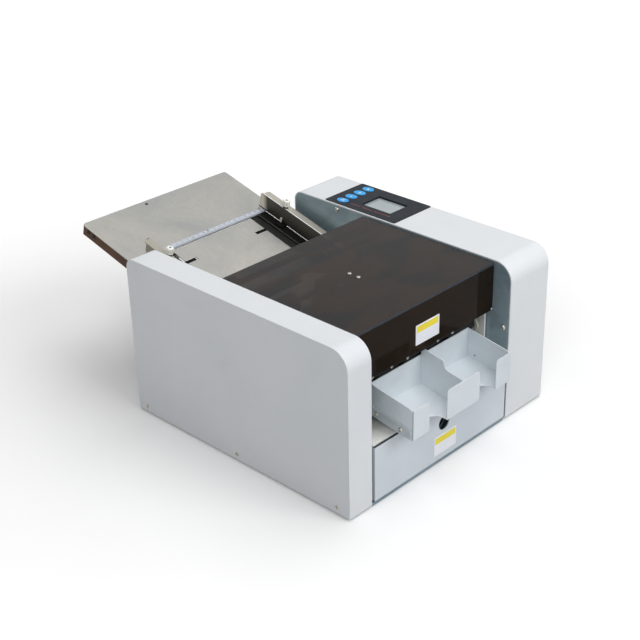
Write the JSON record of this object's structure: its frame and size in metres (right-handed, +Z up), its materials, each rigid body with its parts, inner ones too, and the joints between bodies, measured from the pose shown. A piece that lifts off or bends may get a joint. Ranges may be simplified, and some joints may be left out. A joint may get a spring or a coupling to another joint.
{
  "type": "business card cutter",
  "caption": "Electric desktop card slitter: sloping sheet table at the back, smoked lid over rollers and blades, twin-pocket card tray and waste drawer at the front.",
  "frame": {"origin": "centre of the bounding box on the floor plane", "axes": "+X to the right as seen from the front, +Y from the card tray to the feed table, +Z up"},
  "size_m": [0.394, 0.5786, 0.2323],
  "materials": {
    "cover_paint": "satin powder coat",
    "panel_blue": "satin powder coat",
    "tray_paint": "satin powder coat",
    "frame_paint": "matte powder coat",
    "stainless": "brushed",
    "steel": "ground",
    "screw_steel": "bright",
    "ruler_face": "printed satin",
    "rail_brown": "satin",
    "black_metal": "satin",
    "smoked": "polished smoked acrylic",
    "black_plastic": "fine texture",
    "key_blue": "gloss",
    "lcd": "polarizer",
    "board_green": "solder mask",
    "nylon": "turned nylon",
    "rubber_dark": "matte",
    "motor_body": "painted"
  },
  "bodies": {
    "machine_frame": {"base_plate": "panel_blue", "rubber_feet": "rubber_dark", "left_frame_plate": "frame_paint", "right_frame_plate": "frame_paint", "left_side_cover": "cover_paint", "right_side_cover": "cover_paint", "left_inner_panel": "panel_blue", "right_inner_panel": "panel_blue", "cover_screws": "screw_steel", "rear_panel": "cover_paint", "power_inlet": "black_plastic", "drawer_bay_top": "frame_paint", "card_tray": "tray_paint", "tray_divider": "tray_paint", "tray_brackets": "tray_paint", "bracket_screws": "screw_steel", "exit_bar": "black_metal", "control_bezel": "black_plastic", "lcd_display": "lcd", "circuit_boards": "board_green", "feed_table": "stainless", "table_side_rails": "rail_brown", "ruler_strip": "ruler_face", "guide_slot_plate": "black_metal", "lift_springs": "steel", "paper_guide_plates": "frame_paint", "lower_blade": "steel", "blade_guide_posts": "steel", "shaft_bushes": "nylon", "cross_beams": "frame_paint", "motor_bracket": "panel_blue", "feed_motor": "motor_body", "cutter_motor": "motor_body", "drive_belts": "rubber_dark"},
    "waste_drawer": {"drawer_front": "tray_paint", "drawer_bin": "panel_blue"},
    "smoked_cover": {"smoked_top": "smoked", "smoked_front": "smoked", "cover_fittings": "nylon"},
    "menu_button": {"menu_key": "key_blue"},
    "minus_button": {"minus_key": "key_blue"},
    "plus_button": {"plus_key": "key_blue"},
    "start_button": {"start_key": "key_blue"},
    "left_guide": {"left_side_guide": "stainless"},
    "right_guide": {"right_side_guide": "stainless"},
    "left_knob": {"left_guide_knob": "nylon"},
    "right_knob": {"right_guide_knob": "nylon"},
    "lift": {"lift_plate": "stainless"},
    "pickup": {"pickup_roller": "rubber_dark"},
    "feed_lower": {"lower_feed_roller": "rubber_dark"},
    "feed_upper": {"upper_feed_roller": "rubber_dark"},
    "slitter_lower": {"lower_slitter": "steel"},
    "slitter_upper": {"upper_slitter": "steel"},
    "delivery_lower": {"lower_delivery_roller": "rubber_dark"},
    "delivery_upper": {"upper_delivery_roller": "rubber_dark"},
    "drive_pulley": {"motor_pulley": "steel"},
    "crank": {"cutter_shaft": "steel"},
    "carriage": {"blade_carriage": "panel_blue", "upper_blade": "steel"},
    "rocker": {"power_switch": "black_plastic"}
  },
  "joints": [
    {"name": "waste_drawer_slide", "type": "slide", "parent": "machine_frame", "child": "waste_drawer", "axis": [0, -1, 0], "range_m": [0, 0.26]},
    {"name": "smoked_cover_hinge", "type": "hinge", "parent": "machine_frame", "child": "smoked_cover", "pos_m": [0, -0.00733, 0.217], "axis": [-1, 0, 0], "range_deg": [0, 95]},
    {"name": "menu_key_press", "type": "slide", "parent": "machine_frame", "child": "menu_button", "axis": [0, 0, -1], "range_m": [0, 0.0008], "stiffness_N_per_m": 300, "springref_m": -0.001},
    {"name": "minus_key_press", "type": "slide", "parent": "machine_frame", "child": "minus_button", "axis": [0, 0, -1], "range_m": [0, 0.0008], "stiffness_N_per_m": 300, "springref_m": -0.001},
    {"name": "plus_key_press", "type": "slide", "parent": "machine_frame", "child": "plus_button", "axis": [0, 0, -1], "range_m": [0, 0.0008], "stiffness_N_per_m": 300, "springref_m": -0.001},
    {"name": "start_key_press", "type": "slide", "parent": "machine_frame", "child": "start_button", "axis": [0, 0, -1], "range_m": [0, 0.0008], "stiffness_N_per_m": 300, "springref_m": -0.001},
    {"name": "left_guide_slide", "type": "slide", "parent": "machine_frame", "child": "left_guide", "axis": [1, 0, 0], "range_m": [-0.001, 0.014]},
    {"name": "right_guide_slide", "type": "slide", "parent": "machine_frame", "child": "right_guide", "axis": [1, 0, 0], "range_m": [-0.014, 0.001]},
    {"name": "left_knob_turn", "type": "hinge", "parent": "left_guide", "child": "left_knob", "pos_m": [-0.12535, 0.14317, 0.18408], "axis": [0, -0.2588, 0.9659], "range_deg": [0, 180]},
    {"name": "right_knob_turn", "type": "hinge", "parent": "right_guide", "child": "right_knob", "pos_m": [0.09455, 0.14317, 0.18408], "axis": [0, -0.2588, 0.9659], "range_deg": [0, 180]},
    {"name": "lift_plate_tilt", "type": "hinge", "parent": "machine_frame", "child": "lift", "pos_m": [-0.0154, 0.17478, 0.18427], "axis": [1, 0, 0], "range_deg": [0, 6], "stiffness_Nm_per_rad": 8, "springref_deg": -11.46, "deforming": ["lift_springs"]},
    {"name": "slitter_lower_spin", "type": "hinge", "parent": "machine_frame", "child": "slitter_lower", "pos_m": [0, -0.10733, 0.1306], "axis": [1, 0, 0], "continuous": true},
    {"name": "slitter_upper_spin", "type": "hinge", "parent": "machine_frame", "child": "slitter_upper", "pos_m": [0, -0.10733, 0.1606], "axis": [1, 0, 0], "continuous": true},
    {"name": "feed_lower_spin", "type": "hinge", "parent": "machine_frame", "child": "feed_lower", "pos_m": [0, -0.04533, 0.1366], "axis": [1, 0, 0], "continuous": true},
    {"name": "feed_upper_spin", "type": "hinge", "parent": "machine_frame", "child": "feed_upper", "pos_m": [0, -0.04533, 0.1546], "axis": [1, 0, 0], "continuous": true},
    {"name": "pickup_spin", "type": "hinge", "parent": "machine_frame", "child": "pickup", "pos_m": [0, -0.01433, 0.1571], "axis": [1, 0, 0], "continuous": true},
    {"name": "delivery_lower_spin", "type": "hinge", "parent": "machine_frame", "child": "delivery_lower", "pos_m": [0, -0.20033, 0.1301], "axis": [1, 0, 0], "continuous": true},
    {"name": "delivery_upper_spin", "type": "hinge", "parent": "machine_frame", "child": "delivery_upper", "pos_m": [0, -0.20033, 0.1529], "axis": [1, 0, 0], "continuous": true},
    {"name": "drive_pulley_spin", "type": "hinge", "parent": "machine_frame", "child": "drive_pulley", "pos_m": [0, -0.10733, 0.062], "axis": [1, 0, 0], "continuous": true},
    {"name": "crank_swing", "type": "hinge", "parent": "machine_frame", "child": "crank", "pos_m": [0, -0.15733, 0.189], "axis": [1, 0, 0], "range_deg": [0, 50]},
    {"name": "carriage_slide", "type": "slide", "parent": "machine_frame", "child": "carriage", "axis": [0, 0, -1], "range_m": [0, 0.00845]},
    {"name": "power_switch_rock", "type": "hinge", "parent": "machine_frame", "child": "rocker", "pos_m": [-0.0886, 0.12817, 0.04], "axis": [1, 0, 0], "range_deg": [-16, 0]}
  ],
  "couplings": [
    {"joint": "slitter_upper_spin", "follows": "slitter_lower_spin", "ratio": -1},
    {"joint": "feed_lower_spin", "follows": "slitter_lower_spin", "ratio": 1.7778},
    {"joint": "feed_upper_spin", "follows": "slitter_lower_spin", "ratio": -1.7778},
    {"joint": "pickup_spin", "follows": "slitter_lower_spin", "ratio": -1.1259},
    {"joint": "delivery_lower_spin", "follows": "slitter_lower_spin", "ratio": 1},
    {"joint": "delivery_upper_spin", "follows": "slitter_lower_spin", "ratio": -2.1389},
    {"joint": "drive_pulley_spin", "follows": "slitter_lower_spin", "ratio": 1},
    {"joint": "crank_swing", "follows": "carriage_slide", "rad_per_m": 103.25}
  ]
}
